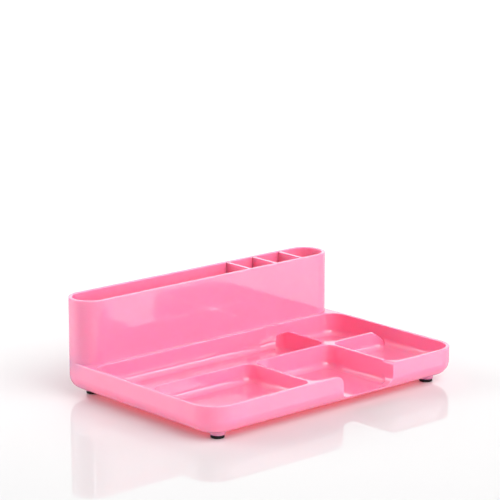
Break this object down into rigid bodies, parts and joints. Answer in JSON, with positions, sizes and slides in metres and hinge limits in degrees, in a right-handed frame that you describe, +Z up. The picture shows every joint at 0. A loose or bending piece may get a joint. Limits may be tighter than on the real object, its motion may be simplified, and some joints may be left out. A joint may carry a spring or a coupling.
{
  "type": "desk pen holder",
  "caption": "Low desk tray with rounded compartments, a finger notch in its front wall and a tall round-ended pen box with cross dividers along the rear edge, on soft foot pads.",
  "frame": {"origin": "middle of the footprint, on the desk under the foot pads", "axes": "+X to the user's right along the long side, +Y to the rear, towards the pen box, +Z up"},
  "size_m": [0.3, 0.2084, 0.0916],
  "materials": {
    "pink_plastic": "smooth high-gloss moulding",
    "black_rubber": "matt"
  },
  "bodies": {
    "root": {"tray": "pink_plastic", "pen_box": "pink_plastic", "pen_divider_left": "pink_plastic", "pen_divider_middle": "pink_plastic", "pen_divider_right": "pink_plastic", "foot_pad_front_left": "black_rubber", "foot_pad_front_right": "black_rubber", "foot_pad_rear_left": "black_rubber", "foot_pad_rear_right": "black_rubber"}
  },
  "joints": []
}
